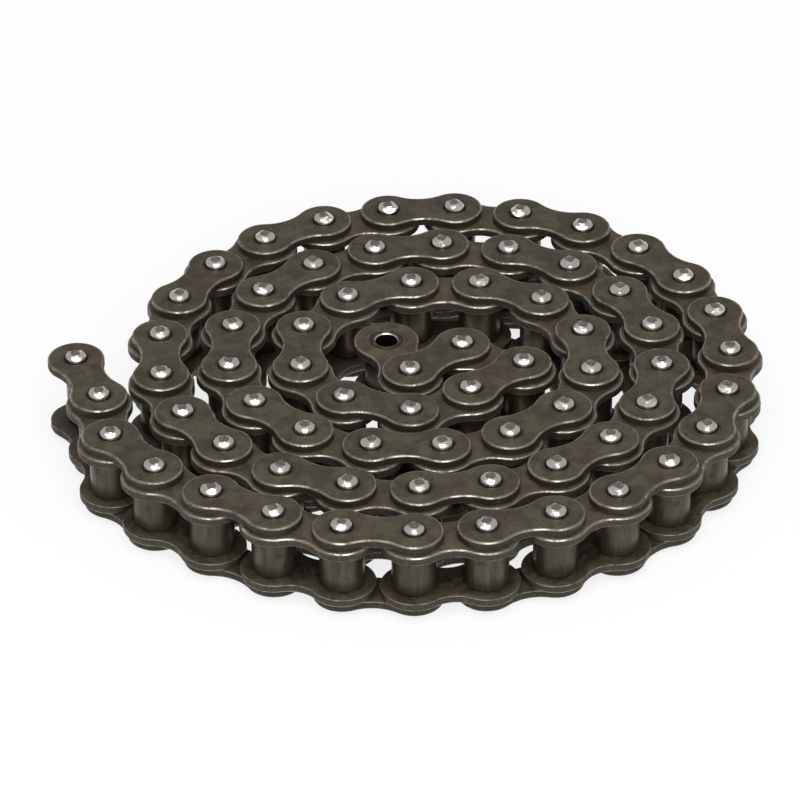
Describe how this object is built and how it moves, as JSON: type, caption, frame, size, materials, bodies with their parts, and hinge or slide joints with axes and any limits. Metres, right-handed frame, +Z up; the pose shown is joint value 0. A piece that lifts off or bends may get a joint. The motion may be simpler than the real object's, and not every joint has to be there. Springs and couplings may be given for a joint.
{
  "type": "roller conveyor chain",
  "caption": "Single-strand roller chain with waisted link plates, riveted pins, bushes and loose rollers, coiled flat with one end free.",
  "frame": {"origin": "centre of the coiled chain's footprint, at the level its pin ends stand on", "axes": "+Z up, along the pins; +X to the right, along the longer side of the footprint; +Y away from the front"},
  "size_m": [0.196, 0.1731, 0.0258],
  "materials": {
    "outer_plate_steel": "dark oiled oxide",
    "inner_plate_steel": "dark oiled oxide",
    "pin_steel": "bright",
    "bush_steel": "dark",
    "roller_steel": "semi-gloss"
  },
  "bodies": {
    "coil": {"coil_outer_plates": "outer_plate_steel", "coil_pins": "pin_steel", "coil_inner_plates": "inner_plate_steel", "coil_bushes": "bush_steel", "coil_rollers": "roller_steel"},
    "roller_link_08": {"roller_link_08_plates": "inner_plate_steel", "roller_link_08_bushes": "bush_steel"},
    "roller_link_08_outer_roller": {"roller_link_08_outer_roller": "roller_steel"},
    "roller_link_08_inner_roller": {"roller_link_08_inner_roller": "roller_steel"},
    "pin_link_08": {"pin_link_08_plates": "outer_plate_steel", "pin_link_08_pins": "pin_steel"},
    "roller_link_07": {"roller_link_07_plates": "inner_plate_steel", "roller_link_07_bushes": "bush_steel"},
    "roller_link_07_outer_roller": {"roller_link_07_outer_roller": "roller_steel"},
    "roller_link_07_inner_roller": {"roller_link_07_inner_roller": "roller_steel"},
    "pin_link_07": {"pin_link_07_plates": "outer_plate_steel", "pin_link_07_pins": "pin_steel"},
    "roller_link_06": {"roller_link_06_plates": "inner_plate_steel", "roller_link_06_bushes": "bush_steel"},
    "roller_link_06_outer_roller": {"roller_link_06_outer_roller": "roller_steel"},
    "roller_link_06_inner_roller": {"roller_link_06_inner_roller": "roller_steel"},
    "pin_link_06": {"pin_link_06_plates": "outer_plate_steel", "pin_link_06_pins": "pin_steel"},
    "roller_link_05": {"roller_link_05_plates": "inner_plate_steel", "roller_link_05_bushes": "bush_steel"},
    "roller_link_05_outer_roller": {"roller_link_05_outer_roller": "roller_steel"},
    "roller_link_05_inner_roller": {"roller_link_05_inner_roller": "roller_steel"},
    "pin_link_05": {"pin_link_05_plates": "outer_plate_steel", "pin_link_05_pins": "pin_steel"},
    "roller_link_04": {"roller_link_04_plates": "inner_plate_steel", "roller_link_04_bushes": "bush_steel"},
    "roller_link_04_outer_roller": {"roller_link_04_outer_roller": "roller_steel"},
    "roller_link_04_inner_roller": {"roller_link_04_inner_roller": "roller_steel"},
    "pin_link_04": {"pin_link_04_plates": "outer_plate_steel", "pin_link_04_pins": "pin_steel"},
    "roller_link_03": {"roller_link_03_plates": "inner_plate_steel", "roller_link_03_bushes": "bush_steel"},
    "roller_link_03_outer_roller": {"roller_link_03_outer_roller": "roller_steel"},
    "roller_link_03_inner_roller": {"roller_link_03_inner_roller": "roller_steel"},
    "pin_link_03": {"pin_link_03_plates": "outer_plate_steel", "pin_link_03_pins": "pin_steel"},
    "roller_link_02": {"roller_link_02_plates": "inner_plate_steel", "roller_link_02_bushes": "bush_steel"},
    "roller_link_02_outer_roller": {"roller_link_02_outer_roller": "roller_steel"},
    "roller_link_02_inner_roller": {"roller_link_02_inner_roller": "roller_steel"},
    "pin_link_02": {"pin_link_02_plates": "outer_plate_steel", "pin_link_02_pins": "pin_steel"},
    "roller_link_01": {"roller_link_01_upper_plate": "inner_plate_steel", "roller_link_01_lower_plate": "inner_plate_steel", "roller_link_01_bushes": "bush_steel"},
    "roller_link_01_outer_roller": {"roller_link_01_outer_roller": "roller_steel"},
    "roller_link_01_inner_roller": {"roller_link_01_inner_roller": "roller_steel"},
    "pin_link_01": {"pin_link_01_upper_plate": "outer_plate_steel", "pin_link_01_lower_plate": "outer_plate_steel", "pin_link_01_end_pin": "pin_steel", "pin_link_01_joint_pin": "pin_steel"},
    "end_roller_link": {"end_roller_link_plates": "inner_plate_steel", "end_roller_link_bushes": "bush_steel"},
    "end_roller_link_outer_roller": {"end_roller_link_outer_roller": "roller_steel"},
    "end_roller_link_inner_roller": {"end_roller_link_inner_roller": "roller_steel"}
  },
  "joints": [
    {"name": "roller_link_08_swing", "type": "hinge", "parent": "coil", "child": "roller_link_08", "pos_m": [0.07804, 0.04066, 0.01293], "axis": [0, 0, 1], "range_deg": [0, 26]},
    {"name": "roller_link_08_outer_roller_spin", "type": "hinge", "parent": "roller_link_08", "child": "roller_link_08_outer_roller", "pos_m": [0.08587, 0.02329, 0.01293], "axis": [0, 0, 1], "continuous": true},
    {"name": "roller_link_08_inner_roller_spin", "type": "hinge", "parent": "roller_link_08", "child": "roller_link_08_inner_roller", "pos_m": [0.07804, 0.04066, 0.01293], "axis": [0, 0, 1], "continuous": true},
    {"name": "pin_link_08_swing", "type": "hinge", "parent": "roller_link_08", "child": "pin_link_08", "pos_m": [0.08587, 0.02329, 0.01293], "axis": [0, 0, 1], "range_deg": [0, 29]},
    {"name": "roller_link_07_swing", "type": "hinge", "parent": "pin_link_08", "child": "roller_link_07", "pos_m": [0.08896, 0.00449, 0.01293], "axis": [0, 0, 1], "range_deg": [0, 31]},
    {"name": "roller_link_07_outer_roller_spin", "type": "hinge", "parent": "roller_link_07", "child": "roller_link_07_outer_roller", "pos_m": [0.0871, -0.01447, 0.01293], "axis": [0, 0, 1], "continuous": true},
    {"name": "roller_link_07_inner_roller_spin", "type": "hinge", "parent": "roller_link_07", "child": "roller_link_07_inner_roller", "pos_m": [0.08896, 0.00449, 0.01293], "axis": [0, 0, 1], "continuous": true},
    {"name": "pin_link_07_swing", "type": "hinge", "parent": "roller_link_07", "child": "pin_link_07", "pos_m": [0.0871, -0.01447, 0.01293], "axis": [0, 0, 1], "range_deg": [0, 33]},
    {"name": "roller_link_06_swing", "type": "hinge", "parent": "pin_link_07", "child": "roller_link_06", "pos_m": [0.0805, -0.03234, 0.01293], "axis": [0, 0, 1], "range_deg": [0, 34]},
    {"name": "roller_link_06_outer_roller_spin", "type": "hinge", "parent": "roller_link_06", "child": "roller_link_06_outer_roller", "pos_m": [0.06973, -0.04805, 0.01293], "axis": [0, 0, 1], "continuous": true},
    {"name": "roller_link_06_inner_roller_spin", "type": "hinge", "parent": "roller_link_06", "child": "roller_link_06_inner_roller", "pos_m": [0.0805, -0.03234, 0.01293], "axis": [0, 0, 1], "continuous": true},
    {"name": "pin_link_06_swing", "type": "hinge", "parent": "roller_link_06", "child": "pin_link_06", "pos_m": [0.06973, -0.04805, 0.01293], "axis": [0, 0, 1], "range_deg": [0, 36]},
    {"name": "roller_link_05_swing", "type": "hinge", "parent": "pin_link_06", "child": "roller_link_05", "pos_m": [0.05559, -0.06081, 0.01293], "axis": [0, 0, 1], "range_deg": [0, 37]},
    {"name": "roller_link_05_outer_roller_spin", "type": "hinge", "parent": "roller_link_05", "child": "roller_link_05_outer_roller", "pos_m": [0.03896, -0.07011, 0.01293], "axis": [0, 0, 1], "continuous": true},
    {"name": "roller_link_05_inner_roller_spin", "type": "hinge", "parent": "roller_link_05", "child": "roller_link_05_inner_roller", "pos_m": [0.05559, -0.06081, 0.01293], "axis": [0, 0, 1], "continuous": true},
    {"name": "pin_link_05_swing", "type": "hinge", "parent": "roller_link_05", "child": "pin_link_05", "pos_m": [0.03896, -0.07011, 0.01293], "axis": [0, 0, 1], "range_deg": [0, 39]},
    {"name": "roller_link_04_swing", "type": "hinge", "parent": "pin_link_05", "child": "roller_link_04", "pos_m": [0.02076, -0.07572, 0.01293], "axis": [0, 0, 1], "range_deg": [0, 41]},
    {"name": "roller_link_04_outer_roller_spin", "type": "hinge", "parent": "roller_link_04", "child": "roller_link_04_outer_roller", "pos_m": [0.00179, -0.07752, 0.01293], "axis": [0, 0, 1], "continuous": true},
    {"name": "roller_link_04_inner_roller_spin", "type": "hinge", "parent": "roller_link_04", "child": "roller_link_04_inner_roller", "pos_m": [0.02076, -0.07572, 0.01293], "axis": [0, 0, 1], "continuous": true},
    {"name": "pin_link_04_swing", "type": "hinge", "parent": "roller_link_04", "child": "pin_link_04", "pos_m": [0.00179, -0.07752, 0.01293], "axis": [0, 0, 1], "range_deg": [0, 43]},
    {"name": "roller_link_03_swing", "type": "hinge", "parent": "pin_link_04", "child": "roller_link_03", "pos_m": [-0.01715, -0.0755, 0.01293], "axis": [0, 0, 1], "range_deg": [0, 47]},
    {"name": "roller_link_03_outer_roller_spin", "type": "hinge", "parent": "roller_link_03", "child": "roller_link_03_outer_roller", "pos_m": [-0.03504, -0.06895, 0.01293], "axis": [0, 0, 1], "continuous": true},
    {"name": "roller_link_03_inner_roller_spin", "type": "hinge", "parent": "roller_link_03", "child": "roller_link_03_inner_roller", "pos_m": [-0.01715, -0.0755, 0.01293], "axis": [0, 0, 1], "continuous": true},
    {"name": "pin_link_03_swing", "type": "hinge", "parent": "roller_link_03", "child": "pin_link_03", "pos_m": [-0.03504, -0.06895, 0.01293], "axis": [0, 0, 1], "range_deg": [0, 46]},
    {"name": "roller_link_02_swing", "type": "hinge", "parent": "pin_link_03", "child": "roller_link_02", "pos_m": [-0.05152, -0.0594, 0.01293], "axis": [0, 0, 1], "range_deg": [0, 44]},
    {"name": "roller_link_02_outer_roller_spin", "type": "hinge", "parent": "roller_link_02", "child": "roller_link_02_outer_roller", "pos_m": [-0.06692, -0.04818, 0.01293], "axis": [0, 0, 1], "continuous": true},
    {"name": "roller_link_02_inner_roller_spin", "type": "hinge", "parent": "roller_link_02", "child": "roller_link_02_inner_roller", "pos_m": [-0.05152, -0.0594, 0.01293], "axis": [0, 0, 1], "continuous": true},
    {"name": "pin_link_02_swing", "type": "hinge", "parent": "roller_link_02", "child": "pin_link_02", "pos_m": [-0.06692, -0.04818, 0.01293], "axis": [0, 0, 1], "range_deg": [0, 54]},
    {"name": "roller_link_01_swing", "type": "hinge", "parent": "pin_link_02", "child": "roller_link_01", "pos_m": [-0.07914, -0.03357, 0.01293], "axis": [0, 0, 1], "range_deg": [0, 70]},
    {"name": "roller_link_01_outer_roller_spin", "type": "hinge", "parent": "roller_link_01", "child": "roller_link_01_outer_roller", "pos_m": [-0.08308, -0.01493, 0.01293], "axis": [0, 0, 1], "continuous": true},
    {"name": "roller_link_01_inner_roller_spin", "type": "hinge", "parent": "roller_link_01", "child": "roller_link_01_inner_roller", "pos_m": [-0.07914, -0.03357, 0.01293], "axis": [0, 0, 1], "continuous": true},
    {"name": "pin_link_01_swing", "type": "hinge", "parent": "roller_link_01", "child": "pin_link_01", "pos_m": [-0.08308, -0.01493, 0.01293], "axis": [0, 0, 1], "range_deg": [-30, 34]},
    {"name": "end_roller_link_swing", "type": "hinge", "parent": "coil", "child": "end_roller_link", "pos_m": [0.00121, -0.00378, 0.01293], "axis": [0, 0, 1], "range_deg": [-8, 15]},
    {"name": "end_roller_link_outer_roller_spin", "type": "hinge", "parent": "end_roller_link", "child": "end_roller_link_outer_roller", "pos_m": [0.00121, -0.00378, 0.01293], "axis": [0, 0, 1], "continuous": true},
    {"name": "end_roller_link_inner_roller_spin", "type": "hinge", "parent": "end_roller_link", "child": "end_roller_link_inner_roller", "pos_m": [-0.00525, 0.01415, 0.01293], "axis": [0, 0, 1], "continuous": true}
  ]
}
